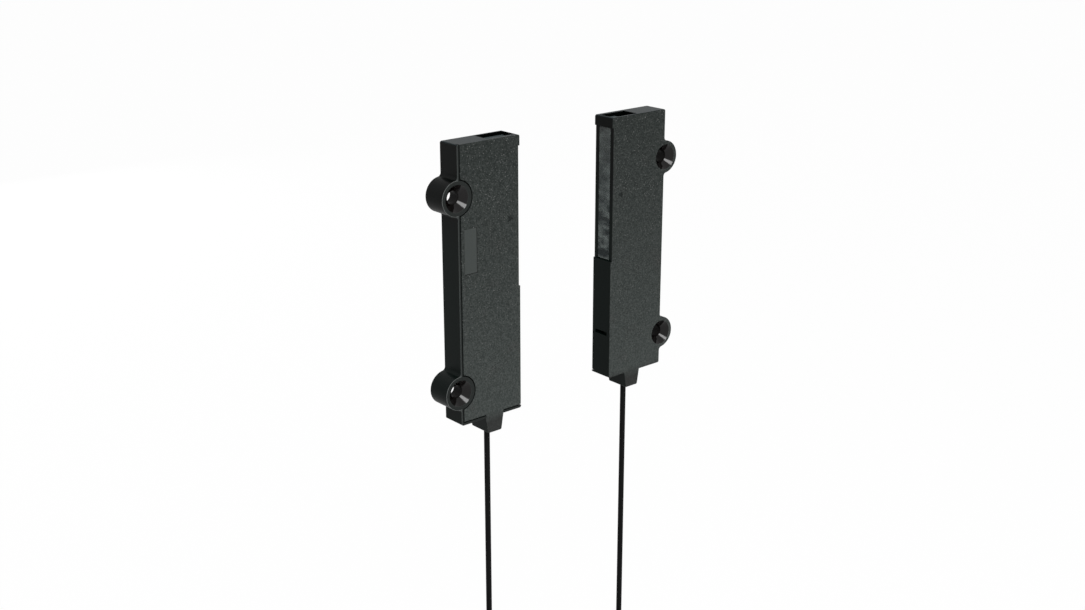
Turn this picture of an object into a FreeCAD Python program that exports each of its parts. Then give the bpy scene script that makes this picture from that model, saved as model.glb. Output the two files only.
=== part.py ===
import FreeCAD, Part
import math
import os

# Through-beam fibre optic sensor cable: two identical flat heads that face each other across a gap.
# Each head is a moulded case with two countersunk ears, a snap-in cover, a tall window, a stepped
# mirror behind it, and one thin fibre cable that leaves through a tapered nose at the bottom.
# Millimetres. X runs along the light beam, Y is the screw direction, Z is up.
# The origin is the middle of the four screw holes, at half the depth of the heads.

# Head body
HEAD_HEIGHT = 69.0
HEAD_WIDTH = 18.6
HEAD_DEPTH = 6.6
FACE_GAP = 30.0          # clear distance between the two window sides
CORNER_RADIUS = 0.5
BACK_CHAMFER = 0.2       # round the back face of the case
COVER_CHAMFER = 0.12     # on the cover's outer edges
WALL = 1.2
TOP_BLOCK = 2.6          # solid plastic above the mirror chamber
CHAMBER_FLOOR = 15.0     # height of the chamber floor over the bottom face

# Screw ears
EAR_LOW = 8.5            # height of the lower ear over the bottom face
EAR_PITCH = 48.0
EAR_OFFSET = 0.2         # ear centre outside the ear side face
EAR_RADIUS = 4.25
EAR_ROOT_RADIUS = 0.9
SCREW_HOLE_RADIUS = 1.65
COUNTERSINK_RADIUS = 3.35

# Cover
COVER_THICK = 1.2
COVER_GAP = 0.3          # open joint line round the cover
RIM_SIDE = 0.5
RIM_BOTTOM = 0.6
TONGUE_GAP = 0.08

# Cable nose
NOSE_CENTRE = 10.2       # from the ear side face
NOSE_TOP_WIDTH = 5.6
NOSE_BOTTOM_WIDTH = 4.2
NOSE_LENGTH = 4.2
NOSE_RADIUS = 0.4

# Window and its recess
RECESS_DEPTH = 0.5
BEAM_MARGIN = 1.1        # recess beyond the beam, above and below
WINDOW_THICK = 1.6
WINDOW_STEP = 0.8        # flange thickness behind the visible step
WINDOW_LAP = 0.7         # flange height above and below the visible part
WINDOW_END_GAP = 0.2
FIT = 0.08               # assembly clearance between moulded pieces

# Stepped mirror
BEAM_HEIGHT = 32.4
MIRROR_STEPS = 16
MIRROR_LOW_REACH = 2.6   # mirror line from the ear side face, at the lowest step
MIRROR_HIGH_REACH = 13.2
MIRROR_HEEL = 1.2        # plain foot of the mirror block under its lowest step

# Fibre line inside the head
SHEATH_RADIUS = 0.75
CORE_RADIUS = 0.5
CHANNEL_PLAY = 0.1
SHEATH_END = 8.0         # height where the sheath is cut back to the bare core
GRIP_LOW = 5.1
GRIP_RADIUS = 1.6
GRIP_CRIMP = 0.25        # depth of the crimped waist
GRIP_PLAY = 0.1
FERRULE_LOW = 8.8
FERRULE_RADIUS = 1.2
FERRULE_TIP = 16.4
FERRULE_CHAMFER = 0.3

# Snap latch of the cover and its slot in the window side
LATCH_HEIGHT = 12.0
SLOT_TALL = 1.0
SLOT_END_WALL = 1.1
LATCH_TALL = 3.2
LATCH_THICK = 1.0
LATCH_PLAY = 0.2
BARB_REACH = 0.8
BARB_LENGTH = 1.2

# Core-out pocket in the top face
POCKET_START = 9.6       # from the ear side face
POCKET_END_WALL = 0.6
POCKET_BACK_WALL = 0.7
POCKET_DEPTH = 0.9
WELL_LENGTH = 3.4
WELL_BACK_WALL = 2.3
WELL_DEPTH = 1.9

# Moulded beam marks
MARK_DEPTH = 0.12
MARK_SIZE = 1.6
MARK_INSET = 2.1         # from the window side to the tip of the mark

# Fibre cables
CABLE_LENGTH = 2000.0
SHEATH_INSIDE = SHEATH_END + NOSE_LENGTH
EMITTER_DROP = 75.0      # coil centre below the bottom face of the head
RECEIVER_DROP = 93.0
TURN_PITCH = 1.55
COIL_LAYERS = 6
COIL_COLUMNS = 4
TAIL_LENGTH = 34.0       # from the coil's last tangent to the cut fibre end

# Tie round each coil
TIE_PLAY = 0.1
TIE_THICK = 0.7
TIE_WIDE = 2.5
TIE_HEAD_LONG = 3.6
TIE_HEAD_WIDE = 3.8
TIE_HEAD_TALL = 2.4

# Sleeve on each fibre end
SLEEVE_RADIUS = 1.1
SLEEVE_LENGTH = 18.0
COLLAR_RADIUS = 1.6
COLLAR_LENGTH = 3.5
SLEEVE_PLAY = 0.05
SLEEVE_CHAMFER = 0.25

ear_heights = [EAR_LOW, EAR_LOW + EAR_PITCH]
recess_high = HEAD_HEIGHT - TOP_BLOCK
beam_high = recess_high - BEAM_MARGIN
beam_low = beam_high - BEAM_HEIGHT
recess_low = beam_low - BEAM_MARGIN
mirror_foot = beam_low - MIRROR_HEEL
recess_floor = HEAD_WIDTH - RECESS_DEPTH
half_depth = HEAD_DEPTH / 2
coil_half_radial = (COIL_LAYERS - 1) / 2 * TURN_PITCH + SHEATH_RADIUS
coil_half_wide = (COIL_COLUMNS - 1) / 2 * TURN_PITCH + SHEATH_RADIUS
spill = 1.0              # how far cutting tools run past a face


def box(x0, x1, y0, y1, z0, z1):
    return Part.makeBox(x1 - x0, y1 - y0, z1 - z0, FreeCAD.Vector(x0, y0, z0))


def rod_y(radius, x, z, y0, y1):
    return Part.makeCylinder(radius, y1 - y0, FreeCAD.Vector(x, y0, z), FreeCAD.Vector(0, 1, 0))


def rod_z(radius, x, y, z0, z1):
    return Part.makeCylinder(radius, z1 - z0, FreeCAD.Vector(x, y, z0), FreeCAD.Vector(0, 0, 1))


def cone_y(r0, r1, x, z, y0, y1):
    if y1 < y0:
        return Part.makeCone(r0, r1, y0 - y1, FreeCAD.Vector(x, y0, z), FreeCAD.Vector(0, -1, 0))
    return Part.makeCone(r0, r1, y1 - y0, FreeCAD.Vector(x, y0, z), FreeCAD.Vector(0, 1, 0))


def slab(points, y0, y1):
    """Prism over an outline of (x, z) points, from y0 to y1."""
    corners = [FreeCAD.Vector(x, y0, z) for x, z in points]
    face = Part.Face(Part.makePolygon(corners + corners[:1]))
    return face.extrude(FreeCAD.Vector(0, y1 - y0, 0))


def turned(profile, x, y):
    """Body of revolution about a vertical axis, from (radius, z) points."""
    corners = [FreeCAD.Vector(x + r, y, z) for r, z in profile]
    face = Part.Face(Part.makePolygon(corners + corners[:1]))
    return face.revolve(FreeCAD.Vector(x, y, 0), FreeCAD.Vector(0, 0, 1), 360)


def y_edges(shape, places, near=0.05):
    """Edges that run along Y through the given (x, z) places."""
    found = []
    for edge in shape.Edges:
        a, b = edge.Vertexes[0].Point, edge.Vertexes[-1].Point
        along = abs(a.x - b.x) < near and abs(a.z - b.z) < near and abs(a.y - b.y) > near
        if along and any(math.hypot(a.x - x, a.z - z) < near for x, z in places):
            found.append(edge)
    return found


def edges_at(shape, y):
    """Edges that lie in the face across Y at the given depth."""
    return [edge for edge in shape.Edges if all(abs(v.Point.y - y) < 0.001 for v in edge.Vertexes)]


def nose_outline(inset=0.0, above=0.0):
    """Tapered nose under the head, with its top raised into the body."""
    top = NOSE_TOP_WIDTH / 2 - inset
    low = NOSE_BOTTOM_WIDTH / 2 - inset
    return [
        (NOSE_CENTRE - top, above),
        (NOSE_CENTRE - top, 0),
        (NOSE_CENTRE - low, -NOSE_LENGTH),
        (NOSE_CENTRE + low, -NOSE_LENGTH),
        (NOSE_CENTRE + top, 0),
        (NOSE_CENTRE + top, above),
    ]


def head_envelope():
    """Outer form of a closed head: body, ears and nose, with rounded corners and sharp faces."""
    body = box(0, HEAD_WIDTH, 0, HEAD_DEPTH, 0, HEAD_HEIGHT)
    for height in ear_heights:
        body = body.fuse(rod_y(EAR_RADIUS, -EAR_OFFSET, height, 0, HEAD_DEPTH))
    body = body.fuse(slab(nose_outline(above=WALL), 0, HEAD_DEPTH)).removeSplitter()
    reach = math.sqrt(EAR_RADIUS ** 2 - EAR_OFFSET ** 2)
    roots = [(0, height + side * reach) for height in ear_heights for side in (-1, 1)]
    body = body.makeFillet(EAR_ROOT_RADIUS, y_edges(body, roots))
    corners = [(x, z) for x in (0, HEAD_WIDTH) for z in (0, HEAD_HEIGHT)]
    body = body.makeFillet(CORNER_RADIUS, y_edges(body, corners))
    nose = [(NOSE_CENTRE + side * NOSE_BOTTOM_WIDTH / 2, -NOSE_LENGTH) for side in (-1, 1)]
    return body.makeFillet(NOSE_RADIUS, y_edges(body, nose))


def cover_region(gap, tongue_gap, y1):
    """Space in front of the case that the cover fills, held back by a gap from the rim and ears."""
    region = box(RIM_SIDE + gap, HEAD_WIDTH + spill, -spill, y1, RIM_BOTTOM + gap, HEAD_HEIGHT + spill)
    for height in ear_heights:
        region = region.cut(rod_y(EAR_RADIUS + gap, -EAR_OFFSET, height, -2 * spill, y1 + spill))
    half = NOSE_TOP_WIDTH / 2 - tongue_gap
    low, high = -NOSE_LENGTH - spill, RIM_BOTTOM + gap + spill
    tongue = box(NOSE_CENTRE - half, NOSE_CENTRE + half, -spill, y1, low, high)
    return region.fuse(tongue).removeSplitter()


def window_recess():
    return box(recess_floor, HEAD_WIDTH + spill, -spill, HEAD_DEPTH + spill, recess_low, recess_high)


def chamber():
    """Hollow for the mirror, open towards the cover and clear of the upper ear's boss."""
    inner = box(WALL, HEAD_WIDTH - WALL, COVER_THICK - spill, HEAD_DEPTH - WALL, CHAMBER_FLOOR, recess_high)
    return inner.cut(rod_y(EAR_RADIUS, -EAR_OFFSET, ear_heights[1], 0, HEAD_DEPTH))


def window_opening():
    """Through opening for the visible part of the window, with a notch for its upper flange."""
    low, high = recess_low, recess_high
    opening = box(HEAD_WIDTH - WALL - spill, HEAD_WIDTH, COVER_THICK - spill, HEAD_DEPTH - WALL, low, high)
    flange_back = recess_floor - WINDOW_THICK - FIT
    flange_front = recess_floor - WINDOW_THICK + WINDOW_STEP + FIT
    top = high - WINDOW_END_GAP + WINDOW_LAP + FIT
    notch = box(flange_back, flange_front, COVER_THICK - spill, HEAD_DEPTH - WALL, low, top)
    return opening.fuse(notch)


def trough(radius, z0, z1):
    """Channel open towards the cover, round at its bottom, for something laid in from the front."""
    open_side = box(NOSE_CENTRE - radius, NOSE_CENTRE + radius, COVER_THICK - spill, half_depth, z0, z1)
    return open_side.fuse(rod_z(radius, NOSE_CENTRE, half_depth, z0, z1))


def fibre_channels():
    """Cable channel, grip pocket and ferrule seat, one above the other."""
    cable = trough(SHEATH_RADIUS + CHANNEL_PLAY, -NOSE_LENGTH - spill, GRIP_LOW)
    grip = trough(GRIP_RADIUS + GRIP_PLAY, GRIP_LOW - GRIP_PLAY, SHEATH_END + GRIP_PLAY)
    core = trough(CORE_RADIUS + CHANNEL_PLAY, SHEATH_END, FERRULE_LOW)
    ferrule = trough(FERRULE_RADIUS + FIT, FERRULE_LOW - FIT, CHAMBER_FLOOR + spill)
    return [cable, grip, core, ferrule]


def latch_space():
    """Channel for the cover's latch leg and the slot in the window side that its barb enters."""
    half = LATCH_TALL / 2 + LATCH_PLAY
    outer = HEAD_WIDTH - WALL
    leg = box(outer - LATCH_THICK - 2 * LATCH_PLAY, outer, COVER_THICK - spill, HEAD_DEPTH - WALL,
              LATCH_HEIGHT - half, LATCH_HEIGHT + half)
    slot = box(outer - spill, HEAD_WIDTH + spill, COVER_THICK - spill, HEAD_DEPTH - SLOT_END_WALL,
               LATCH_HEIGHT - SLOT_TALL / 2, LATCH_HEIGHT + SLOT_TALL / 2)
    return [leg, slot]


def top_pocket():
    """Shallow core-out in the top face with a deeper well at its ear end."""
    shelf = box(POCKET_START, HEAD_WIDTH - POCKET_END_WALL, COVER_THICK - spill,
                HEAD_DEPTH - POCKET_BACK_WALL, HEAD_HEIGHT - POCKET_DEPTH, HEAD_HEIGHT + spill)
    well = box(POCKET_START, POCKET_START + WELL_LENGTH, COVER_THICK - spill,
               HEAD_DEPTH - WELL_BACK_WALL, HEAD_HEIGHT - WELL_DEPTH, HEAD_HEIGHT + spill)
    return [shelf, well]


def beam_mark(y0, y1):
    """Small arrowhead that points at the window side, at the height of the beam's middle."""
    tip = HEAD_WIDTH - MARK_INSET
    z = (beam_low + beam_high) / 2
    half = MARK_SIZE / 2
    return slab([(tip, z), (tip - MARK_SIZE, z + half), (tip - MARK_SIZE, z - half)], y0, y1)


def screw_hole(height):
    hole = rod_y(SCREW_HOLE_RADIUS, -EAR_OFFSET, height, -spill, HEAD_DEPTH + spill)
    deep = COUNTERSINK_RADIUS - SCREW_HOLE_RADIUS
    front = cone_y(COUNTERSINK_RADIUS, SCREW_HOLE_RADIUS, -EAR_OFFSET, height, 0, deep)
    back = cone_y(COUNTERSINK_RADIUS, SCREW_HOLE_RADIUS, -EAR_OFFSET, height, HEAD_DEPTH, HEAD_DEPTH - deep)
    return hole.fuse(front).fuse(back)


def make_case(envelope):
    case = envelope.makeChamfer(BACK_CHAMFER, edges_at(envelope, HEAD_DEPTH))
    case = case.cut(cover_region(0, 0, COVER_THICK))
    tools = [chamber(), window_opening(), window_recess()]
    tools.append(beam_mark(HEAD_DEPTH - MARK_DEPTH, HEAD_DEPTH + spill))
    tools += fibre_channels() + latch_space() + top_pocket()
    tools += [screw_hole(height) for height in ear_heights]
    for tool in tools:
        case = case.cut(tool)
    ledge_top = mirror_foot - FIT
    ledge = box(WALL, MIRROR_LOW_REACH, COVER_THICK, HEAD_DEPTH - WALL, ledge_top - MIRROR_HEEL, ledge_top)
    return case.fuse(ledge).removeSplitter()


def make_cover(envelope):
    cover = envelope.makeChamfer(COVER_CHAMFER, edges_at(envelope, 0))
    cover = cover.common(cover_region(COVER_GAP, TONGUE_GAP, COVER_THICK))
    cover = cover.cut(window_recess())
    cover = cover.cut(beam_mark(-spill, MARK_DEPTH))
    rib_half = SHEATH_RADIUS + CHANNEL_PLAY - FIT
    rib_top = GRIP_LOW - GRIP_PLAY - FIT
    rib = box(NOSE_CENTRE - rib_half, NOSE_CENTRE + rib_half, COVER_THICK, half_depth, -NOSE_LENGTH, rib_top)
    rib = rib.cut(rod_z(SHEATH_RADIUS + FIT, NOSE_CENTRE, half_depth, -NOSE_LENGTH - spill, GRIP_LOW))
    outer = HEAD_WIDTH - WALL - LATCH_PLAY
    leg_end = HEAD_DEPTH - WALL - LATCH_PLAY
    half = LATCH_TALL / 2
    leg = box(outer - LATCH_THICK, outer, COVER_THICK, leg_end, LATCH_HEIGHT - half, LATCH_HEIGHT + half)
    barb_half = SLOT_TALL / 2 - LATCH_PLAY / 2
    toe = [FreeCAD.Vector(outer, leg_end, 0), FreeCAD.Vector(outer, leg_end - BARB_LENGTH, 0),
           FreeCAD.Vector(outer + BARB_REACH, leg_end - BARB_LENGTH, 0)]
    barb = Part.Face(Part.makePolygon(toe + toe[:1])).extrude(FreeCAD.Vector(0, 0, 2 * barb_half))
    barb.translate(FreeCAD.Vector(0, 0, LATCH_HEIGHT - barb_half))
    return cover.fuse(rib).fuse(leg).fuse(barb).removeSplitter()


def make_window():
    """Clear plate with a flange that lies behind the ends of the opening."""
    low, high = recess_low + WINDOW_END_GAP, recess_high - WINDOW_END_GAP
    back = recess_floor - WINDOW_THICK
    y0, y1 = COVER_THICK + FIT, HEAD_DEPTH - WALL - FIT
    flange = box(back, back + WINDOW_STEP, y0, y1, low - WINDOW_LAP, high + WINDOW_LAP)
    front = box(back, recess_floor, y0, y1, low, high)
    return flange.fuse(front).removeSplitter()


def mirror_steps():
    """Ends of the reflecting facets. Each faces halfway between the fibre tip and the window."""
    rise = BEAM_HEIGHT / MIRROR_STEPS
    slope = (MIRROR_HIGH_REACH - MIRROR_LOW_REACH) / BEAM_HEIGHT
    ends = []
    for i in range(MIRROR_STEPS):
        z = beam_low + (i + 0.5) * rise
        x = MIRROR_LOW_REACH + slope * (z - beam_low)
        away = math.hypot(x - NOSE_CENTRE, z - FERRULE_TIP)
        lean_x = (x - NOSE_CENTRE) / away
        lean_z = (z - FERRULE_TIP) / away
        run = rise * lean_z / (1 - lean_x)
        ends.append((x - run / 2, z - rise / 2))
        ends.append((x + run / 2, z + rise / 2))
    return ends


def make_mirror():
    """Metallised block with one flat facet a step, notched round the upper ear's boss."""
    back = WALL + FIT
    high = recess_high - FIT
    steps = mirror_steps()
    outline = [(back, mirror_foot), (steps[0][0], mirror_foot)] + steps
    outline += [(steps[-1][0], high), (back, high)]
    block = slab(outline, COVER_THICK + FIT, HEAD_DEPTH - WALL - FIT)
    return block.cut(rod_y(EAR_RADIUS + FIT, -EAR_OFFSET, ear_heights[1], 0, HEAD_DEPTH))


def make_ferrule():
    profile = [
        (CORE_RADIUS + FIT / 2, FERRULE_LOW),
        (FERRULE_RADIUS, FERRULE_LOW),
        (FERRULE_RADIUS, FERRULE_TIP - FERRULE_CHAMFER),
        (FERRULE_RADIUS - FERRULE_CHAMFER, FERRULE_TIP),
        (CORE_RADIUS + FIT / 2, FERRULE_TIP),
    ]
    return turned(profile, NOSE_CENTRE, half_depth)


def make_core():
    return rod_z(CORE_RADIUS, NOSE_CENTRE, half_depth, SHEATH_END, FERRULE_TIP)


def make_grip():
    """Ring on the sheath, crimped to a waist in its middle."""
    bore = SHEATH_RADIUS + FIT / 2
    land = (SHEATH_END - GRIP_LOW) / 3
    waist = GRIP_RADIUS - GRIP_CRIMP
    profile = [
        (bore, GRIP_LOW),
        (GRIP_RADIUS, GRIP_LOW),
        (GRIP_RADIUS, GRIP_LOW + land - GRIP_CRIMP),
        (waist, GRIP_LOW + land),
        (waist, SHEATH_END - land),
        (GRIP_RADIUS, SHEATH_END - land + GRIP_CRIMP),
        (GRIP_RADIUS, SHEATH_END),
        (bore, SHEATH_END),
    ]
    return turned(profile, NOSE_CENTRE, half_depth)


def coil_length(drop):
    """Length left for the turns when the straight stretches are taken off."""
    hang = drop - NOSE_LENGTH
    return CABLE_LENGTH - SHEATH_INSIDE - hang - TAIL_LENGTH


def coil_radius(drop):
    """Middle radius of the turns."""
    return coil_length(drop) / (2 * math.pi * COIL_LAYERS * COIL_COLUMNS)


def outer_turn(drop):
    """Radius of the outermost turn, which the straight stretches run into."""
    return coil_radius(drop) + (COIL_LAYERS - 1) / 2 * TURN_PITCH


def column_step(side):
    """From the back column to the front one, away from the mounting surface."""
    return side * (COIL_COLUMNS - 1) * TURN_PITCH


def coil_centre(drop, side):
    """The cable comes down into the outermost turn of the back column."""
    return NOSE_CENTRE + side * outer_turn(drop), half_depth + column_step(side) / 2, -drop


def make_coil(drop, side):
    """Outer shape of the wound turns: a ring with a square section."""
    x, y, z = coil_centre(drop, side)
    half = coil_half_wide
    outer = rod_y(coil_radius(drop) + coil_half_radial, x, z, y - half, y + half)
    bore = rod_y(coil_radius(drop) - coil_half_radial, x, z, y - half - spill, y + half + spill)
    return outer.cut(bore)


def tube_rise(drop):
    """Height over the coil's middle where a straight tube's centre line meets the coil's outer face."""
    return math.sqrt((outer_turn(drop) + SHEATH_RADIUS) ** 2 - outer_turn(drop) ** 2)


def make_cable(drop, coil):
    low = -drop + tube_rise(drop)
    return rod_z(SHEATH_RADIUS, NOSE_CENTRE, half_depth, low, SHEATH_END).cut(coil)


def make_tail(drop, side, coil):
    high = -drop - tube_rise(drop)
    y = half_depth + column_step(side)
    return rod_z(SHEATH_RADIUS, NOSE_CENTRE, y, -drop - TAIL_LENGTH, high).cut(coil)


def make_sleeve(drop, side):
    """Thin adapter sleeve with a collar, flush with the cut end of the fibre."""
    end = -drop - TAIL_LENGTH
    bore = SHEATH_RADIUS + SLEEVE_PLAY
    top = end + SLEEVE_LENGTH
    profile = [
        (bore, end),
        (SLEEVE_RADIUS - SLEEVE_CHAMFER, end),
        (SLEEVE_RADIUS, end + SLEEVE_CHAMFER),
        (SLEEVE_RADIUS, top - COLLAR_LENGTH),
        (COLLAR_RADIUS, top - COLLAR_LENGTH),
        (COLLAR_RADIUS, top),
        (bore, top),
    ]
    return turned(profile, NOSE_CENTRE, half_depth + column_step(side))


def make_tie(drop, side):
    """Band round the coil's section beside the cable, with its locking head on the outside."""
    x, y, z = coil_centre(drop, side)
    half = TIE_WIDE / 2
    bore = coil_radius(drop) - coil_half_radial
    inner = x - side * (math.sqrt(bore ** 2 - half ** 2) - TIE_PLAY)
    outer = x - side * (coil_radius(drop) + coil_half_radial + TIE_PLAY)
    wide = coil_half_wide + TIE_PLAY
    x0, x1 = sorted((inner, outer))
    loop = box(x0 - TIE_THICK, x1 + TIE_THICK, y - wide - TIE_THICK, y + wide + TIE_THICK, z - half, z + half)
    loop = loop.cut(box(x0, x1, y - wide, y + wide, z - half - spill, z + half + spill))
    x0, x1 = sorted((outer - side * TIE_THICK, outer - side * (TIE_THICK + TIE_HEAD_TALL)))
    half_y, half_z = TIE_HEAD_WIDE / 2, TIE_HEAD_LONG / 2
    head = box(x0, x1, y - half_y, y + half_y, z - half_z, z + half_z)
    return loop.fuse(head).removeSplitter()


def place(shape, turned_round):
    """Puts a head's piece into the shared frame. The receiver head is turned half round Z."""
    middle = EAR_LOW + EAR_PITCH / 2
    copy = shape.copy()
    copy.translate(FreeCAD.Vector(-HEAD_WIDTH - FACE_GAP / 2, -half_depth, -middle))
    if turned_round:
        copy.rotate(FreeCAD.Vector(0, 0, 0), FreeCAD.Vector(0, 0, 1), 180)
    return copy


def head_pieces(drop, side):
    envelope = head_envelope()
    coil = make_coil(drop, side)
    return {
        "case": make_case(envelope),
        "cover": make_cover(envelope),
        "window": make_window(),
        "mirror": make_mirror(),
        "ferrule": make_ferrule(),
        "fibre_core": make_core(),
        "cable_grip": make_grip(),
        "cable": make_cable(drop, coil),
        "cable_coil": coil,
        "cable_tail": make_tail(drop, side, coil),
        "coil_tie": make_tie(drop, side),
        "fibre_sleeve": make_sleeve(drop, side),
    }


def main():
    os.makedirs("parts", exist_ok=True)
    heads = [("emitter", EMITTER_DROP, -1, False), ("receiver", RECEIVER_DROP, 1, True)]
    for name, drop, side, turned_round in heads:
        for piece, shape in head_pieces(drop, side).items():
            placed = place(shape, turned_round)
            placed.exportStep(f"parts/{name}_{piece}.step")
            solids = len(placed.Solids)
            print(f"{name}_{piece}: {solids} solid, valid {placed.isValid()}, {placed.Volume:.1f} mm3")
        section = math.pi * SHEATH_RADIUS ** 2
        straight = drop - tube_rise(drop) + SHEATH_END
        print(f"{name}: straight tube {straight:.1f} mm, about {section * straight:.1f} mm3,",
              f"coil of {coil_length(drop):.0f} mm at middle radius {coil_radius(drop):.2f}")


main()
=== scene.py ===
import bpy
import bmesh
import math
from mathutils import Matrix, Vector


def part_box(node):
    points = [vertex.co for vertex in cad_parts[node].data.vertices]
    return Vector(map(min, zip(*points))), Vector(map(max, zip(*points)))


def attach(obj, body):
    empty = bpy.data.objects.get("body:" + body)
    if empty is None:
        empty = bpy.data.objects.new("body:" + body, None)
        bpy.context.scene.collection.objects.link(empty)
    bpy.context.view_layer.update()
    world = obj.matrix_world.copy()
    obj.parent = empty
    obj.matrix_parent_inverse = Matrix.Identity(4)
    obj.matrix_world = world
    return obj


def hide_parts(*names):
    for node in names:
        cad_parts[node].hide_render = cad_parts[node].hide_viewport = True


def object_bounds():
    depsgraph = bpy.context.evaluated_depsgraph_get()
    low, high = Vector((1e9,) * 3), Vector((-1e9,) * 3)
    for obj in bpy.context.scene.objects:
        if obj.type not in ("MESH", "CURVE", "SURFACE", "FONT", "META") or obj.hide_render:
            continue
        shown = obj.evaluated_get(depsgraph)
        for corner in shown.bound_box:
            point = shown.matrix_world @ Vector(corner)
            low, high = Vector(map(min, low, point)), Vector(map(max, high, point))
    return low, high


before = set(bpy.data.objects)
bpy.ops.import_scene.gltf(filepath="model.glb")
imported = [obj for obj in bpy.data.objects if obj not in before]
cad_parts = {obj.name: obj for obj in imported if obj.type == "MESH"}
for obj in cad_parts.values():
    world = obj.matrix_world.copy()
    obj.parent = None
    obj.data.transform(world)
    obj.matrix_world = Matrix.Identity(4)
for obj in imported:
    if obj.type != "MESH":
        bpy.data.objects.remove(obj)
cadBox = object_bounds()
heads = ("emitter", "receiver")
sides = {"emitter": -1, "receiver": 1}      # which way each head lies from the middle, along X
mm = 0.001


def addObject(name, data):
    made = bpy.data.objects.new(name, data)
    bpy.context.scene.collection.objects.link(made)
    return made


# Camera: the photo's angle, worked out from the corners and ear circles of both heads.

camera = {
    "place": (-229.02, -260.21, 105.74),
    "turn": 40.71,          # degrees from +Y towards +X
    "pitch": 18.43,         # degrees downwards
    "focal": 1446,          # pixels, for a picture 1085 wide
    "pictureWide": 1085,
    "sensor": 36.0,
    "nearest": 0.01,
    "farthest": 20,
}


def makeCamera():
    c = camera
    data = bpy.data.cameras.new("photoCamera")
    data.sensor_width = c["sensor"]
    data.lens = c["sensor"] * c["focal"] / c["pictureWide"]
    data.clip_start, data.clip_end = c["nearest"], c["farthest"]
    eye = addObject("photoCamera", data)
    eye.location = Vector(c["place"]) * mm
    turn, pitch = math.radians(c["turn"]), math.radians(c["pitch"])
    ahead = Vector((math.sin(turn) * math.cos(pitch), math.cos(turn) * math.cos(pitch), -math.sin(pitch)))
    eye.rotation_mode = "QUATERNION"
    eye.rotation_quaternion = ahead.to_track_quat("-Z", "Y")
    bpy.context.scene.camera = eye


makeCamera()
print("camera placed")

# Shared node helpers. A value that is a socket is linked, and any other value is set on the input itself. The
# noises in the settings give the width of a grain in millimetres, then the detail and the roughness.


def wire(tree, node, inputs):
    for key, value in inputs.items():
        if isinstance(value, bpy.types.NodeSocket):
            tree.links.new(value, node.inputs[key])
        else:
            node.inputs[key].default_value = value


def put(tree, kind, inputs=None, **settings):
    made = tree.nodes.new(kind)
    for key, value in settings.items():
        setattr(made, key, value)
    wire(tree, made, inputs or {})
    return made


def maths(tree, operation, first, second=0.0):
    return put(tree, "ShaderNodeMath", {0: first, 1: second}, operation=operation).outputs[0]


def product(tree, first, *others):
    for other in others:
        first = maths(tree, "MULTIPLY", first, other)
    return first


def vectorMaths(tree, operation, first, second=(0, 0, 0)):
    made = put(tree, "ShaderNodeVectorMath", {0: first, 1: second}, operation=operation)
    return made.outputs["Value" if operation == "LENGTH" else "Vector"]


def split(tree, vector):
    return put(tree, "ShaderNodeSeparateXYZ", {0: vector}).outputs


def blendNumber(tree, share, low, high):
    return put(tree, "ShaderNodeMix", {0: share, 2: low, 3: high}, data_type="FLOAT").outputs[0]


def blendColour(tree, share, low, high):
    return put(tree, "ShaderNodeMix", {0: share, 6: low, 7: high}, data_type="RGBA").outputs[2]


def ramp(tree, value, low, high):
    # 0 at low and 1 at high, which may be the smaller of the two
    return put(tree, "ShaderNodeMapRange", {"Value": value, "From Min": low, "From Max": high}).outputs[0]


def noise(tree, where, size, detail=2.0, roughness=0.5):
    made = put(tree, "ShaderNodeTexNoise",
               {"Vector": where, "Scale": 1 / (size * mm), "Detail": detail, "Roughness": roughness})
    return made.outputs[0]


def relief(tree, height, depth):
    # depth is the height of the relief in millimetres
    return put(tree, "ShaderNodeBump", {"Height": height, "Strength": 1.0, "Distance": depth * mm}).outputs[0]


def tone(red, green=None, blue=None):
    # one number alone gives a plain grey
    if green is None:
        green = blue = red
    return (red, green, blue, 1.0)


def emptyMaterial(name):
    material = bpy.data.materials.new(name)
    material.use_nodes = True
    material.node_tree.nodes.clear()
    return material, material.node_tree


def startMaterial(name):
    material, tree = emptyMaterial(name)
    shader = put(tree, "ShaderNodeBsdfPrincipled")
    put(tree, "ShaderNodeOutputMaterial", {0: shader.outputs[0]})
    where = put(tree, "ShaderNodeTexCoord").outputs["Object"]
    return material, tree, shader, where


# Fibre cables: one spline each, straight down out of the nose, then the put-away coil, then the cut end.

fibreCable = {
    "length": 2.0,
    "thick": 1.5 * mm,
    "reach": 23.4 * mm,          # from the middle of the pair to each cable
    "sheathStart": -24.5 * mm,   # where the sheath is cut back, inside the head
    "noseEnd": -36.7 * mm,
    # spline points down the straight run, in millimetres under the start, and how far over the coil it ends
    "drop": {"emitter": (0, 8, 18, 30, 42, 54, 66), "receiver": (0, 8, 18, 30, 42, 54, 66, 78, 90)},
    "meetsCoil": 6 * mm,
    "coilMiddle": {"emitter": -107.5 * mm, "receiver": -125.5 * mm},
    "turnRadius": {"emitter": 12.488 * mm, "receiver": 12.369 * mm},
    "pitch": 1.55 * mm,
    "layers": 6,
    "columns": 4,
    "tailDrop": (0, 7, 13, 20, 27),
    "tail": 34.0 * mm,
    "pointsPerTurn": 16,
    "crossing": 0.22,            # share of a turn in which it steps to the next layer
    "ring": 5,                   # fineness of the round section
    "fineness": 4,               # and along the cable
}


def stepShare(turns):
    # how many layers the cable has stepped over, each step eased over the last part of its turn
    whole = math.floor(turns)
    late = (turns - whole - 1 + fibreCable["crossing"]) / fibreCable["crossing"]
    late = min(max(late, 0.0), 1.0)
    return whole + late * late * (3 - 2 * late)


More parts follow.
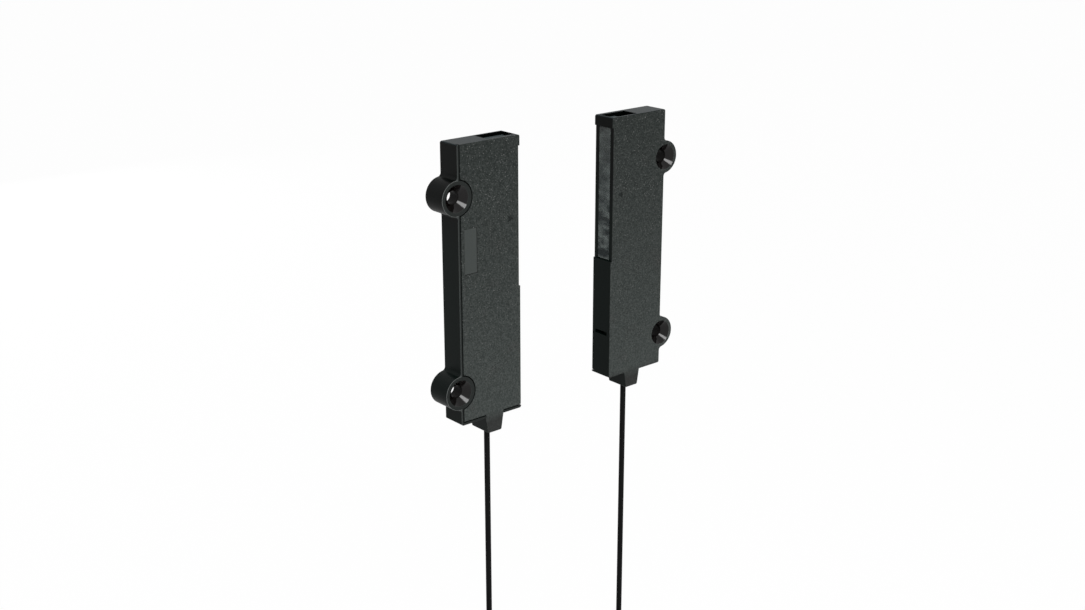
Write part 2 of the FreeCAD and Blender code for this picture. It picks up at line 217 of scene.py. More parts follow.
def coilPoints(head):
    # the cable winds inwards in one column and outwards in the next
    c = fibreCable
    outer = c["turnRadius"][head] + (c["layers"] - 1) / 2 * c["pitch"]
    middleX, middleZ = sides[head] * c["reach"] - outer, c["coilMiddle"][head]
    # the curve runs inside its points, so they lie a little outside the turn
    swell = 1 / math.cos(math.pi / c["pointsPerTurn"])
    last = c["layers"] - 1
    points = []
    for column in range(c["columns"]):
        for i in range(c["layers"] * c["pointsPerTurn"]):
            turns = i / c["pointsPerTurn"]
            stepped = min(stepShare(turns), last)
            layer = stepped if column % 2 == 0 else last - stepped
            radius = (outer - layer * c["pitch"]) * swell
            over = max(stepShare(turns) - last, 0.0)
            back = 0.0 if column == c["columns"] - 1 else over
            angle = -2 * math.pi * turns
            points.append((middleX + radius * math.cos(angle), -(column + back) * c["pitch"],
                           middleZ + radius * math.sin(angle)))
    return points


def cablePoints(head):
    c = fibreCable
    x, top, middle = sides[head] * c["reach"], c["sheathStart"], c["coilMiddle"][head]
    points = [(x, 0.0, top - d * mm) for d in c["drop"][head]]
    points.append((x, 0.0, middle + c["meetsCoil"]))
    points += coilPoints(head)[1:]
    front = -(c["columns"] - 1) * c["pitch"]
    points += [(x, front, middle - d * mm) for d in c["tailDrop"]]
    points.append((x, front, middle - c["tail"]))
    return points


def makeCable(head):
    data = bpy.data.curves.new(head + "FibreCable", "CURVE")
    data.dimensions = "3D"
    spline = data.splines.new("NURBS")
    points = cablePoints(head)
    spline.points.add(len(points) - 1)
    for point, place in zip(spline.points, points):
        point.co = (*place, 1.0)
    spline.order_u = 3
    spline.use_endpoint_u = True
    spline.resolution_u = fibreCable["fineness"]
    data.bevel_depth = fibreCable["thick"] / 2
    data.bevel_resolution = fibreCable["ring"]
    data.use_fill_caps = True
    return addObject(head + "FibreCable", data)


sheathLook = {
    "grain": (0.35, 3),
    "cloud": (9.0, 2),
    "tones": (tone(0.0030), tone(0.0056, 0.005712, 0.0056)),
    "rough": (0.38, 0.48),
    "relief": 0.0015,
    "specular": 0.04,
}


def sheathPlastic():
    material, tree, shader, where = startMaterial("fibreSheath")
    s = sheathLook
    grain = noise(tree, where, *s["grain"])
    shade = noise(tree, where, *s["cloud"])
    wire(tree, shader, {
        "Base Color": blendColour(tree, shade, *s["tones"]),
        "Roughness": blendNumber(tree, grain, *s["rough"]),
        "Normal": relief(tree, grain, s["relief"]),
        "Specular IOR Level": s["specular"],
    })
    return material


cables = {head: makeCable(head) for head in heads}
sheath = sheathPlastic()
for cable in cables.values():
    cable.data.materials.append(sheath)
print("fibre cables wound")

# Moulded plastic of the heads. The broad outer face of each piece is spark-textured, the other faces are smooth,
# and the countersinks are polished.

moulding = {
    # places, measured from the middle of the pair
    "outerFace": 3.2 * mm,        # the textured face lies beyond this depth
    "markFloor": 3.14 * mm,       # the beam marks and edge chamfers lie between this depth and that face
    "sinkDepth": 3.27 * mm,       # the countersinks lie within this depth
    "holeReach": 33.8 * mm,
    "holeHeight": 24.0 * mm,
    "sinkRadius": 3.45 * mm,
    "boreRadius": 1.68 * mm,
    "earRadius": 4.27 * mm,
    "ringHighlightEdge": 4.16 * mm,        # the painted highlight on the edge of each ear's ring starts here
    "rimHighlightReach": 33.44 * mm,       # and the painted highlight on the rim beside the cover here
    "topFace": 35.0 * mm,         # the top face and its pocket lie above this
    "shelf": 36.2 * mm,           # the pocket's floor lies under this
    "foot": -37.0 * mm,
    "crown": 37.0 * mm,
    "noseFade": (-31.0 * mm, -34.0 * mm),   # heights over which the nose turns darker and more neutral
    "sideShadeFade": (10.0 * mm, 24.0 * mm),     # and over which painted shade darkens the smooth sides towards the top
    "levelNormal": 0.7,           # a face that looks further up than this is level
    # the smooth field on each cover and the painted shadow line round it, in millimetres
    "patchLow": (28.3, 5.4),
    "patchHigh": (31.9, 16.3),
    "patchShadowLine": (0.16, 0.16 / 3),
    # texture: its noises and the part of each that is used, dark end first
    "coarse": (0.38, 3, 0.62),
    "fine": (0.095, 2, 0.6),
    "fineShare": 0.5,
    "grainRange": (0.38, 0.65),
    "grainByHeight": (0.50, 0.92),
    "topShadeShare": 0.56,             # how far the painted shade at the top takes over at the crown
    "noseShare": 0.75,            # and how far that darker tone takes over on the nose
    "cloud": (14.0, 3),
    "brown": (5.0, 2),
    "brownRange": (0.55, 0.8),
    # the specks are painted glints of the spark texture, more of them towards the top
    "speckCell": 0.36 * mm,
    "speckSize": (0.30, 0.12),    # where in its cell a painted glint starts and where it is full
    "speckChance": (0.50, 1.0),
    "glintsByHeight": (0.30, 1.0),
    "relief": 0.05,
    # gloss
    "texturedRough": 0.62,
    "satinRough": (0.34, 0.44),
    "polishedRough": 0.09,
    "polish": 0.36,               # clear coat of the countersinks
    "polishRough": 0.09,
    "specular": 0.05,
}
mouldingTones = {
    "texture": (tone(0.0375, 0.0450, 0.0425), tone(0.0430, 0.0500, 0.0475)),
    "brown": tone(0.0430, 0.0430, 0.0415),
    "grains": (tone(0.018, 0.02052, 0.01944), tone(0.063, 0.0693, 0.06615)),
    # painted shade at the top of the textured faces
    "textureTopShade": tone(0.0050, 0.0075, 0.0067),
    # painted glints
    "glintSpeck": tone(0.21, 0.21, 0.2058),
    "nose": tone(0.0185, 0.0182, 0.0178),
    "smooth": (tone(0.0004, 0.0021, 0.0016), tone(0.0014, 0.0034, 0.0028)),
    "smoothTopShade": tone(0.0001, 0.0006, 0.0004),
    # painted light: the level top face lighter and teal, and the pocket's floor much lighter, as lit from above
    "topFace": tone(0.0030, 0.0078, 0.0092),
    "litPocketFloor": tone(0.0600, 0.0740, 0.0760),
    "chamfer": tone(0.0120, 0.0145, 0.0138),
    "sink": tone(0.0030, 0.0024, 0.0023),
    "coverSide": tone(0.0140, 0.0160, 0.0152),
    # painted highlights on the edges of the rim and of the ear rings
    "rim": tone(0.0370, 0.0410, 0.0400),
    "ear": tone(0.0900, 0.0960, 0.0940),
    "patch": tone(0.0400, 0.0450, 0.0430),
    # painted shadow round the smooth field
    "patchShadowLine": tone(0.0090, 0.0090, 0.0088),
}


def insideBox(tree, size, low, high):
    # 1 between two corners given in millimetres as (x, z), measured on the absolute coordinates
    limits = []
    for axis, a, b in (("X", low[0], high[0]), ("Z", low[1], high[1])):
        limits.append(maths(tree, "GREATER_THAN", size[axis], a * mm))
        limits.append(maths(tree, "LESS_THAN", size[axis], b * mm))
    return product(tree, *limits)


def coverPatch(tree, plain, size, textured):
    # the smooth field and the painted shadow line round it, widest along its lower and inner edges
    m = moulding
    before, after = m["patchShadowLine"]
    low, high = m["patchLow"], m["patchHigh"]
    upper = maths(tree, "GREATER_THAN", plain["Z"], 0.0)
    field = product(tree, insideBox(tree, size, low, high), upper)
    grown = insideBox(tree, size, (low[0] - before, low[1] - before), (high[0] + after, high[1] + after))
    shadowLine = maths(tree, "SUBTRACT", product(tree, grown, upper), field)
    return product(tree, field, textured), product(tree, shadowLine, textured)


def texturedTone(tree, where, height, coarse, cloud):
    # the texture gets finer towards the top, where painted shade darkens it, with small bright specks painted as
    # glints
    m, tones = moulding, mouldingTones
    climb = ramp(tree, height, m["foot"], m["crown"])
    brown = noise(tree, where, *m["brown"])
    cells = put(tree, "ShaderNodeTexVoronoi", {"Vector": where, "Scale": 1 / m["speckCell"]})
    chance = put(tree, "ShaderNodeSeparateColor", {0: cells.outputs["Color"]}).outputs[0]
    glintSpecks = product(tree, ramp(tree, cells.outputs["Distance"], *m["speckSize"]),
                     ramp(tree, chance, *m["speckChance"]), blendNumber(tree, climb, *m["glintsByHeight"]))
    base = blendColour(tree, cloud, *tones["texture"])
    base = blendColour(tree, ramp(tree, brown, *m["brownRange"]), base, tones["brown"])
    grains = blendColour(tree, ramp(tree, coarse, *m["grainRange"]), *tones["grains"])
    face = blendColour(tree, blendNumber(tree, climb, *m["grainByHeight"]), base, grains)
    # painted shade: the textured face darker towards the crown
    face = blendColour(tree, product(tree, climb, m["topShadeShare"]), face, tones["textureTopShade"])
    # painted glints: small bright specks
    face = blendColour(tree, glintSpecks, face, tones["glintSpeck"])
    nose = ramp(tree, height, *m["noseFade"])
    return blendColour(tree, product(tree, nose, m["noseShare"]), face, tones["nose"])


def smoothTone(tree, plain, outwards, cloud, sink):
    m, tones = moulding, mouldingTones
    face = blendColour(tree, cloud, *tones["smooth"])
    # painted shade: the smooth sides darker towards the top
    face = blendColour(tree, ramp(tree, plain["Z"], *m["sideShadeFade"]), face, tones["smoothTopShade"])
    # painted light on the level faces at the top: the top face and the pocket's floor
    upwards = split(tree, put(tree, "ShaderNodeNewGeometry").outputs["Normal"])["Z"]
    level = product(tree, maths(tree, "GREATER_THAN", upwards, m["levelNormal"]),
                    maths(tree, "GREATER_THAN", plain["Z"], m["topFace"]))
    top = blendColour(tree, maths(tree, "LESS_THAN", plain["Z"], m["shelf"]), tones["topFace"], tones["litPocketFloor"])
    face = blendColour(tree, level, face, top)
    chamfer = maths(tree, "GREATER_THAN", outwards, m["markFloor"])
    face = blendColour(tree, chamfer, face, tones["chamfer"])
    return blendColour(tree, sink, face, tones["sink"])


def edgeHighlightTone(tree, face, size, outwards, away):
    # the side of the case that faces the cover: rim and ear rings, with painted highlights on their edges
    m, tones = moulding, mouldingTones
    inner = maths(tree, "LESS_THAN", outwards, -m["outerFace"])
    # painted highlight on the ring's edge and on the rim's outer strip
    light = product(tree, inner, maths(tree, "GREATER_THAN", away, m["ringHighlightEdge"]),
                    maths(tree, "GREATER_THAN", size["X"], m["rimHighlightReach"]))
    onEar = maths(tree, "LESS_THAN", away, m["earRadius"])
    face = blendColour(tree, inner, face, tones["coverSide"])
    return blendColour(tree, light, face, blendColour(tree, onEar, tones["rim"], tones["ear"]))


def mouldedPlastic(name, texturedSide, isCover):
    material, tree, shader, where = startMaterial(name)
    m, tones = moulding, mouldingTones
    plain = split(tree, where)
    absolute = vectorMaths(tree, "ABSOLUTE", where)
    size = split(tree, absolute)
    outwards = maths(tree, "MULTIPLY", plain["Y"], texturedSide)
    textured = maths(tree, "GREATER_THAN", outwards, m["outerFace"])

    fromHole = vectorMaths(tree, "SUBTRACT", absolute, (m["holeReach"], 0, m["holeHeight"]))
    away = vectorMaths(tree, "LENGTH", vectorMaths(tree, "MULTIPLY", fromHole, (1, 0, 1)))
    sink = product(tree, maths(tree, "LESS_THAN", away, m["sinkRadius"]),
                   maths(tree, "LESS_THAN", size["Y"], m["sinkDepth"]))
    polished = product(tree, sink, maths(tree, "GREATER_THAN", away, m["boreRadius"]))

    coarse = noise(tree, where, *m["coarse"])
    fine = noise(tree, where, *m["fine"])
    cloud = noise(tree, where, *m["cloud"])
    smooth = smoothTone(tree, plain, outwards, cloud, sink)
    if isCover:
        patch, shadowLine = coverPatch(tree, plain, size, textured)
        textured = maths(tree, "SUBTRACT", textured, patch)
        smooth = blendColour(tree, patch, smooth, tones["patch"])
    else:
        smooth = edgeHighlightTone(tree, smooth, size, outwards, away)
    colour = blendColour(tree, textured, smooth, texturedTone(tree, where, plain["Z"], coarse, cloud))
    if isCover:
        # painted shadow line round the smooth field
        colour = blendColour(tree, shadowLine, colour, tones["patchShadowLine"])

    gloss = blendNumber(tree, polished, blendNumber(tree, fine, *m["satinRough"]), m["polishedRough"])
    grains = maths(tree, "ADD", coarse, product(tree, fine, m["fineShare"]))
    wire(tree, shader, {
        "Base Color": colour,
        "Roughness": blendNumber(tree, textured, gloss, m["texturedRough"]),
        "Normal": relief(tree, product(tree, grains, textured), m["relief"]),
        "Coat Weight": product(tree, polished, m["polish"]),
        "Coat Roughness": m["polishRough"],
        "Specular IOR Level": m["specular"],
    })
    return material


# Smoked window: a painted reflection of the mirror's steps in cloudy bands, stronger towards the lower end.

windowLook = {
    "reflectionBands": (2.2, 3, 0.55),
    "stretch": (1.0, 0.45, 1.0),
    "bandRange": (0.43, 0.61),
    "bandFade": (30 * mm, 2 * mm),
    "bandByHeight": (0.30, 1.0),
    "evenShare": 0.40,           # what the painted reflection bands fade to higher up
    "deepFade": (33 * mm, 20 * mm),
    "deep": (tone(0.010, 0.012, 0.012), tone(0.006, 0.016, 0.018)),
    # painted reflection: the light tone of the bands
    "light": tone(0.205, 0.238, 0.230),
    "rough": (0.02, 0.06),
    "relief": 0.02,
    "specular": 0.12,
    "transmission": 0.65,
    "index": 1.30,               # lower than the plastic's own, so that it mirrors less of the white surround
}


def smokedWindow():
    material, tree, shader, where = startMaterial("smokedWindow")
    w = windowLook
    flow = put(tree, "ShaderNodeMapping", {"Vector": where, "Scale": w["stretch"]}).outputs[0]
    wave = noise(tree, flow, *w["reflectionBands"])
    height = split(tree, where)["Z"]
    strength = blendNumber(tree, ramp(tree, height, *w["bandFade"]), *w["bandByHeight"])
    share = blendNumber(tree, strength, w["evenShare"], ramp(tree, wave, *w["bandRange"]))
    deep = blendColour(tree, ramp(tree, height, *w["deepFade"]), *w["deep"])
    wire(tree, shader, {
        # painted reflection of the mirror's steps, mixed into the window's colour
        "Base Color": blendColour(tree, share, deep, w["light"]),
        "Roughness": blendNumber(tree, wave, *w["rough"]),
        "Normal": relief(tree, wave, w["relief"]),
        "Specular IOR Level": w["specular"],
        "Transmission Weight": w["transmission"],
        "IOR": w["index"],
    })
    return material


# Mirror block: only the facets are coated, and its flat sides are bare dark plastic.

mirrorLook = {
    "wave": (2.4, 2),
    "flatNormal": 0.7,           # a face that looks further sideways than this is not a facet
    "bare": (tone(0.0060, 0.0064, 0.0062), tone(0.0100, 0.0105, 0.0102)),
    "bright": (tone(0.70, 0.71, 0.72), tone(0.79, 0.80, 0.80)),
    "bareRough": 0.5,
    "brightRough": (0.05, 0.12),
    "relief": 0.02,
    "specular": 0.1,
}


def mirrorCoating():
    material, tree, shader, where = startMaterial("mirrorCoating")
    m = mirrorLook
    wave = noise(tree, where, *m["wave"])
    turned = vectorMaths(tree, "ABSOLUTE", put(tree, "ShaderNodeNewGeometry").outputs["Normal"])
    coated = maths(tree, "LESS_THAN", split(tree, turned)["Y"], m["flatNormal"])
    bare, bright = blendColour(tree, wave, *m["bare"]), blendColour(tree, wave, *m["bright"])
    wire(tree, shader, {
        "Base Color": blendColour(tree, coated, bare, bright),
        "Roughness": blendNumber(tree, coated, m["bareRough"], blendNumber(tree, wave, *m["brightRough"])),
        "Normal": relief(tree, wave, m["relief"]),
        "Metallic": coated,
        "Specular IOR Level": m["specular"],
    })
    return material


# Small turned parts: fine marks run round the upright axis.

turnedLook = {
    "cloud": (1.2, 3),
    "wander": 0.6,
    "detail": 2.0,
    "waveTurn": 20,              # radians by which the wave texture turns per unit of its scale
    "rough": (0.22, 0.4),
    "relief": 0.006,
}


def turnedMetal(name, dark, light, markWidth):
    # one mark is 2 pi times markWidth wide, which is in millimetres
    material, tree, shader, where = startMaterial(name)
    t = turnedLook
    marks = put(tree, "ShaderNodeTexWave",
                {"Vector": where, "Scale": 1 / (markWidth * mm) / t["waveTurn"], "Distortion": t["wander"],
                 "Detail": t["detail"]},
                wave_type="BANDS", bands_direction="Z").outputs[1]
    cloud = noise(tree, where, *t["cloud"])
    wire(tree, shader, {
        "Base Color": blendColour(tree, cloud, dark, light),
        "Roughness": blendNumber(tree, product(tree, marks, cloud), *t["rough"]),
        "Normal": relief(tree, marks, t["relief"]),
        "Metallic": 1.0,
    })
    return material


fibreLook = {
    "cloud": (0.5, 2),
    "tones": (tone(0.82, 0.85, 0.85), tone(0.92, 0.94, 0.94)),
    "rough": (0.04, 0.10),
    "relief": 0.003,
    "transmission": 0.7,
    "index": 1.49,
}


def clearFibre():
    material, tree, shader, where = startMaterial("clearFibre")
    f = fibreLook
    cloud = noise(tree, where, *f["cloud"])
    wire(tree, shader, {
        "Base Color": blendColour(tree, cloud, *f["tones"]),
        "Roughness": blendNumber(tree, cloud, *f["rough"]),
        "Normal": relief(tree, cloud, f["relief"]),
        "Transmission Weight": f["transmission"],
        "IOR": f["index"],
    })
    return material


tieLook = {
    "cloud": (1.4, 3),
    "grain": (0.2, 2),
    "tones": (tone(0.008), tone(0.014)),
    "rough": (0.38, 0.55),
    "relief": 0.006,
    "specular": 0.15,
}


def tieNylon():
    material, tree, shader, where = startMaterial("tieNylon")
    t = tieLook
    cloud = noise(tree, where, *t["cloud"])
    wire(tree, shader, {
        "Base Color": blendColour(tree, cloud, *t["tones"]),
        "Roughness": blendNumber(tree, cloud, *t["rough"]),
        "Normal": relief(tree, noise(tree, where, *t["grain"]), t["relief"]),
        "Specular IOR Level": t["specular"],
    })
    return material


finishes = {
    "window": smokedWindow(),
    "mirror": mirrorCoating(),
    "ferrule": turnedMetal("turnedSteel", tone(0.42), tone(0.56), 0.05),
    "fibre_core": clearFibre(),
    "cable_grip": turnedMetal("crimpedBrass", tone(0.48, 0.36, 0.16), tone(0.62, 0.48, 0.24), 0.08),
    "fibre_sleeve": turnedMetal("sleeveSteel", tone(0.17, 0.1683, 0.1649), tone(0.27, 0.2673, 0.2619), 0.06),
    "coil_tie": tieNylon(),
    "cable": sheath,
    "cable_coil": sheath,
    "cable_tail": sheath,
}


def dress(node, material):
    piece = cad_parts[node]
    piece.data.materials.clear()
    piece.data.materials.append(material)


for head in heads:
    # the emitter's case is textured at the back and its cover at the front; the receiver is turned half round
    back = -sides[head]
    dress(head + "_case", mouldedPlastic(head + "CasePlastic", back, False))
    dress(head + "_cover", mouldedPlastic(head + "CoverPlastic", -back, True))
    for part, finish in finishes.items():
        dress(head + "_" + part, finish)
print("heads finished")

# Ties round the coils: a strap with rounded corners, a locking head and the trimmed end with its ratchet teeth.

tie = {
    "thick": 0.7 * mm,
    "wide": 2.5 * mm,
    "corner": 1.1 * mm,
    "innerCorner": 0.55 * mm,
    "strapEdge": 0.14 * mm,
    "headDeep": 2.4 * mm,
    "headWide": 3.8 * mm,
    "headLong": 3.6 * mm,
    "headOverlap": 0.3,          # share of the strap's thickness that the head sinks into it
    "headEdge": 0.22 * mm,
    "slotWide": 1.1 * mm,
    "slotLong": 2.7 * mm,
    "slotDeep": 1.2 * mm,
    "stubLow": 0.4 * mm,         # the stub's two faces, from the middle of the head
    "stubHigh": 0.15 * mm,
    "stubOut": 0.45 * mm,
    "stubEdge": 0.08 * mm,
    "toothPitch": 0.35 * mm,
    "toothCount": 4,
    "toothCorners": 3,
    "toothSize": 0.55,           # share of the pitch
    "toothLong": 0.7,            # share of the strap's width
    "arcSteps": 6,
    "softAngle": 40,             # edges sharper than this are rounded, in degrees
}


def roundedLoop(x0, x1, y0, y1, radius):
    points = []
    steps = tie["arcSteps"]
    for cx, cy, start in ((x1 - radius, y1 - radius, 0), (x0 + radius, y1 - radius, 90),
                          (x0 + radius, y0 + radius, 180), (x1 - radius, y0 + radius, 270)):
        for i in range(steps + 1):
            angle = math.radians(start + 90 * i / steps)
            points.append((cx + radius * math.cos(angle), cy + radius * math.sin(angle)))
    return points


def joinRings(mesh, first, second):
    for i in range(len(first)):
        j = (i + 1) % len(first)
        mesh.faces.new((first[i], first[j], second[j], second[i]))


def finishMesh(mesh, name, material, smooth=True):
    bmesh.ops.recalc_face_normals(mesh, faces=mesh.faces)
    data = bpy.data.meshes.new(name)
    mesh.to_mesh(data)
    mesh.free()
    data.materials.append(material)
    for face in data.polygons:
        face.use_smooth = smooth
    return addObject(name, data)


def soften(piece, width, segments=2):
    edge = piece.modifiers.new("softEdges", "BEVEL")
    edge.width = width
    edge.segments = segments
    edge.limit_method = "ANGLE"
    edge.angle_limit = math.radians(tie["softAngle"])
    edge.harden_normals = True


def spanOf(node):
    # lower corner, upper corner and middle of a CAD node
    low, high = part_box(node)
    return low, high, (low + high) / 2


def makeStrap(head):
    low, high, middle = spanOf(head + "_coil_tie")
    t = tie
    x0, x1 = low.x, high.x - t["headDeep"]
    outer = roundedLoop(x0, x1, low.y, high.y, t["corner"])
    inner = roundedLoop(x0 + t["thick"], x1 - t["thick"], low.y + t["thick"], high.y - t["thick"], t["innerCorner"])
    z0, z1 = middle.z - t["wide"] / 2, middle.z + t["wide"] / 2
    mesh = bmesh.new()
    rings = [[mesh.verts.new((x, y, z)) for x, y in outline]
             for outline, z in ((outer, z0), (outer, z1), (inner, z1), (inner, z0))]
    for i in range(4):
        joinRings(mesh, rings[i], rings[(i + 1) % 4])
    strap = finishMesh(mesh, head + "TieStrap", finishes["coil_tie"])
    soften(strap, t["strapEdge"])
    return strap


def makeTieHead(head):
    _, high, middle = spanOf(head + "_coil_tie")
    t = tie
    back = high.x - t["headDeep"] - t["thick"] * t["headOverlap"]
    mesh = bmesh.new()

    def square(x, wide, long):
        return [mesh.verts.new((x, middle.y + y * wide / 2, middle.z + z * long / 2))
                for y, z in ((-1, -1), (1, -1), (1, 1), (-1, 1))]

    bottom = square(back, t["headWide"], t["headLong"])
    top = square(high.x, t["headWide"], t["headLong"])
    mouth = square(high.x, t["slotWide"], t["slotLong"])
    floor = square(high.x - t["slotDeep"], t["slotWide"], t["slotLong"])
    mesh.faces.new(bottom)
    for first, second in ((bottom, top), (top, mouth), (mouth, floor)):
        joinRings(mesh, first, second)
    mesh.faces.new(floor)
    lock = finishMesh(mesh, head + "TieHead", finishes["coil_tie"])
    soften(lock, t["headEdge"], 3)
    return lock


def makeTieStub(head):
    # the trimmed end of the strap, standing just proud of the locking head
    _, high, middle = spanOf(head + "_coil_tie")
    t = tie
    near = Vector((high.x - t["slotDeep"], middle.y - t["stubLow"], middle.z - t["wide"] / 2))
    far = Vector((high.x + t["stubOut"], middle.y + t["stubHigh"], middle.z + t["wide"] / 2))
    mesh = bmesh.new()
    for corner in bmesh.ops.create_cube(mesh, size=1.0)["verts"]:
        corner.co = [far[i] if corner.co[i] > 0 else near[i] for i in range(3)]
    stub = finishMesh(mesh, head + "TieStub", finishes["coil_tie"])
    soften(stub, t["stubEdge"])
    return stub


# Repeats are made by small node trees: ratchet teeth on the strap's end and the knurl of the sleeve's collar.


def startTree(name, sizes):
    tree = bpy.data.node_groups.new(name, "GeometryNodeTree")
    tree.interface.new_socket("Geometry", in_out="OUTPUT", socket_type="NodeSocketGeometry")
    for label, kind in sizes:
        tree.interface.new_socket(label, in_out="INPUT", socket_type=kind)
    return tree, put(tree, "NodeGroupInput").outputs, put(tree, "NodeGroupOutput")


def closeTree(tree, end, instances, material):
    solid = put(tree, "GeometryNodeRealizeInstances", {0: instances}).outputs[0]
    painted = put(tree, "GeometryNodeSetMaterial", {0: solid, 2: material}).outputs[0]
    wire(tree, end, {0: painted})


def growPiece(name, tree, values):
    # runs the tree on an empty mesh and keeps the result as a plain mesh
    seed = addObject(name + "Seed", bpy.data.meshes.new(name + "Seed"))
    grown = seed.modifiers.new("tree", "NODES")
    grown.node_group = tree
    for socket in tree.interface.items_tree:
        if socket.in_out == "INPUT" and socket.name in values:
            grown[socket.identifier] = values[socket.name]
    seen = seed.evaluated_get(bpy.context.evaluated_depsgraph_get())
    data = bpy.data.meshes.new_from_object(seen)
    data.name = name
    seed.modifiers.remove(grown)
    bpy.data.objects.remove(seed)
    return addObject(name, data)


sleeve = {
    "collarRadius": 1.6 * mm,
    "collarLong": 3.5 * mm,
    "ribCount": 30,
    "ribCorners": 6,
    "ribRadius": 0.11 * mm,
    "ribShare": 0.72,            # of the collar's length
    "coreRadius": 0.5 * mm,
    "coreFlat": 0.12,            # height of the cut core's dome, as a share of a ball's
    "coreIn": 0.02 * mm,
    "coreFineness": (24, 10),
}


def knurlTree(material):
    tree, size, end = startTree("collarKnurl", [
        ("Rib Count", "NodeSocketInt"), ("Ring Radius", "NodeSocketFloat"), ("Rib Radius", "NodeSocketFloat"),
        ("Rib Length", "NodeSocketFloat"), ("Middle", "NodeSocketVector")])
    ring = put(tree, "GeometryNodeMeshCircle", {"Vertices": size["Rib Count"], "Radius": size["Ring Radius"]})
    rib = put(tree, "GeometryNodeMeshCylinder",
              {"Vertices": sleeve["ribCorners"], "Radius": size["Rib Radius"], "Depth": size["Rib Length"]})
    ribs = put(tree, "GeometryNodeInstanceOnPoints", {"Points": ring.outputs[0], "Instance": rib.outputs[0]})
    placed = put(tree, "GeometryNodeTransform", {0: ribs.outputs[0], "Translation": size["Middle"]})
    closeTree(tree, end, placed.outputs[0], material)
    return tree


def toothTree(material):
    tree, size, end = startTree("strapTeeth", [
        ("Tooth Count", "NodeSocketInt"), ("Tooth Step", "NodeSocketVector"), ("Tooth Size", "NodeSocketFloat"),
        ("Tooth Length", "NodeSocketFloat"), ("First", "NodeSocketVector")])
    row = put(tree, "GeometryNodeMeshLine",
              {"Count": size["Tooth Count"], "Start Location": size["First"], "Offset": size["Tooth Step"]})
    tooth = put(tree, "GeometryNodeMeshCylinder",
                {"Vertices": tie["toothCorners"], "Radius": size["Tooth Size"], "Depth": size["Tooth Length"]})
    teeth = put(tree, "GeometryNodeInstanceOnPoints", {"Points": row.outputs[0], "Instance": tooth.outputs[0]})
    closeTree(tree, end, teeth.outputs[0], material)
    return tree


knurl = knurlTree(finishes["fibre_sleeve"])
teeth = toothTree(finishes["coil_tie"])


def makeKnurl(head):
    _, high, middle = spanOf(head + "_fibre_sleeve")
    s = sleeve
    return growPiece(head + "SleeveKnurl", knurl, {
        "Rib Count": s["ribCount"],
        "Ring Radius": s["collarRadius"],
        "Rib Radius": s["ribRadius"],
        "Rib Length": s["collarLong"] * s["ribShare"],
        "Middle": (middle.x, middle.y, high.z - s["collarLong"] / 2),
    })


def makeTeeth(head):
    _, high, middle = spanOf(head + "_coil_tie")
    t = tie
    first = high.x + t["stubOut"] - t["toothPitch"] * (t["toothCount"] - 0.5)
    return growPiece(head + "TieTeeth", teeth, {
        "Tooth Count": t["toothCount"],
        "Tooth Step": (t["toothPitch"], 0, 0),
        "Tooth Size": t["toothPitch"] * t["toothSize"],
        "Tooth Length": t["wide"] * t["toothLong"],
        "First": (first, middle.y + t["stubHigh"], middle.z),
    })


def makeCutEnd(head):
    # polished core showing in the cut end of the sheath
    low, _, middle = spanOf(head + "_fibre_sleeve")
    s = sleeve
    mesh = bmesh.new()
    around, tall = s["coreFineness"]
    bmesh.ops.create_uvsphere(mesh, u_segments=around, v_segments=tall, radius=s["coreRadius"])
    place = Matrix.Translation((middle.x, middle.y, low.z + s["coreIn"]))
    bmesh.ops.transform(mesh, verts=mesh.verts, matrix=place @ Matrix.Diagonal((1, 1, s["coreFlat"], 1)))
    return finishMesh(mesh, head + "CutCore", finishes["fibre_core"])


for head in heads:
    strap, lock, stub = makeStrap(head), makeTieHead(head), makeTieStub(head)
    toothRow, knurlRing, cutCore = makeTeeth(head), makeKnurl(head), makeCutEnd(head)
    cable = cables[head]
    for piece in (strap, lock, stub, toothRow):
        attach(piece, "root")
    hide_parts(head + "_coil_tie")
    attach(knurlRing, "root")
    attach(cutCore, "root")
    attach(cable, "root")
    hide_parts(head + "_cable", head + "_cable_coil", head + "_cable_tail")
print("ties, sleeves and cables seated")

# Stage: a pale floor under the hanging cables, a white surround and soft lamps.

stage = {
    "floorDrop": 14 * mm,          # below the lowest cable end
    "floorHalf": 5.0,
    "floorShade": 0.88,
    "floorWhite": 0.97,            # share of plain white that the floor shows to the eye
    "surround": 0.50,              # light from all round
    "lamps": [
        # name, direction to the lamp, distance, width, height, watts
        ("keyBox", (-0.36, -0.66, 0.66), 0.75, 0.50, 0.32, 1.2),
        ("coreBox", (-0.36, -0.66, 0.66), 0.74, 0.40, 0.24, 3.9),
        ("lowBox", (-0.20, -0.90, -0.38), 0.42, 0.30, 0.16, 0.55),
        ("backBox", (0.05, 0.98, 0.08), 0.90, 0.50, 0.40, 2.6),
    ],
}


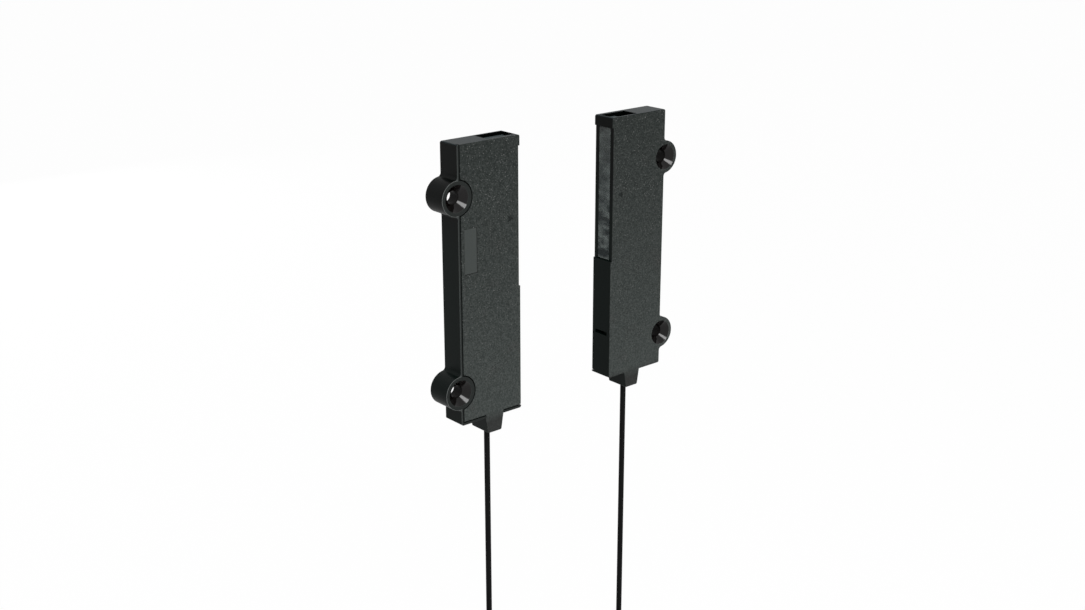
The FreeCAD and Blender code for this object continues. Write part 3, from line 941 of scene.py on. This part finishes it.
def seenRays(tree):
    # 1 for rays that show white to the eye, straight, mirrored or through the window
    rays = put(tree, "ShaderNodeLightPath").outputs
    seen = maths(tree, "MAXIMUM", rays["Is Camera Ray"], rays["Is Glossy Ray"])
    return maths(tree, "MAXIMUM", seen, rays["Is Transmission Ray"])


def paleFloor():
    material, tree = emptyMaterial("paleFloor")
    matte = put(tree, "ShaderNodeBsdfDiffuse", {"Color": tone(stage["floorShade"])})
    shine = put(tree, "ShaderNodeEmission", {"Color": tone(1.0), "Strength": 1.0})
    share = product(tree, seenRays(tree), stage["floorWhite"])
    mixed = put(tree, "ShaderNodeMixShader", {0: share, 1: matte.outputs[0], 2: shine.outputs[0]})
    # seen from below, the floor is left out so that it hides nothing
    clear = put(tree, "ShaderNodeBsdfTransparent")
    under = put(tree, "ShaderNodeNewGeometry").outputs["Backfacing"]
    both = put(tree, "ShaderNodeMixShader", {0: under, 1: mixed.outputs[0], 2: clear.outputs[0]})
    put(tree, "ShaderNodeOutputMaterial", {0: both.outputs[0]})
    return material


def makeFloor():
    half, height = stage["floorHalf"], cadBox[0].z - stage["floorDrop"]
    mesh = bmesh.new()
    corners = [mesh.verts.new((x * half, y * half, height)) for x, y in ((-1, -1), (1, -1), (1, 1), (-1, 1))]
    mesh.faces.new(corners)
    floor = finishMesh(mesh, "paleFloor", paleFloor(), False)


def makeSurround():
    world = bpy.data.worlds.new("whiteSurround")
    bpy.context.scene.world = world
    world.use_nodes = True
    tree = world.node_tree
    tree.nodes.clear()
    strength = blendNumber(tree, seenRays(tree), stage["surround"], 1.0)
    sky = put(tree, "ShaderNodeBackground", {"Color": tone(1.0), "Strength": strength})
    put(tree, "ShaderNodeOutputWorld", {0: sky.outputs[0]})


def makeLamps():
    for name, direction, distance, wide, tall, power in stage["lamps"]:
        data = bpy.data.lights.new(name, "AREA")
        data.shape = "RECTANGLE"
        data.size = wide
        data.size_y = tall
        data.energy = power
        lamp = addObject(name, data)
        towards = Vector(direction).normalized()
        lamp.location = towards * distance
        lamp.rotation_mode = "QUATERNION"
        lamp.rotation_quaternion = (-towards).to_track_quat("-Z", "Y")
        lamp.visible_camera = False


makeFloor()
makeSurround()
makeLamps()
bpy.context.scene.view_settings.view_transform = "Standard"
print("stage lit")
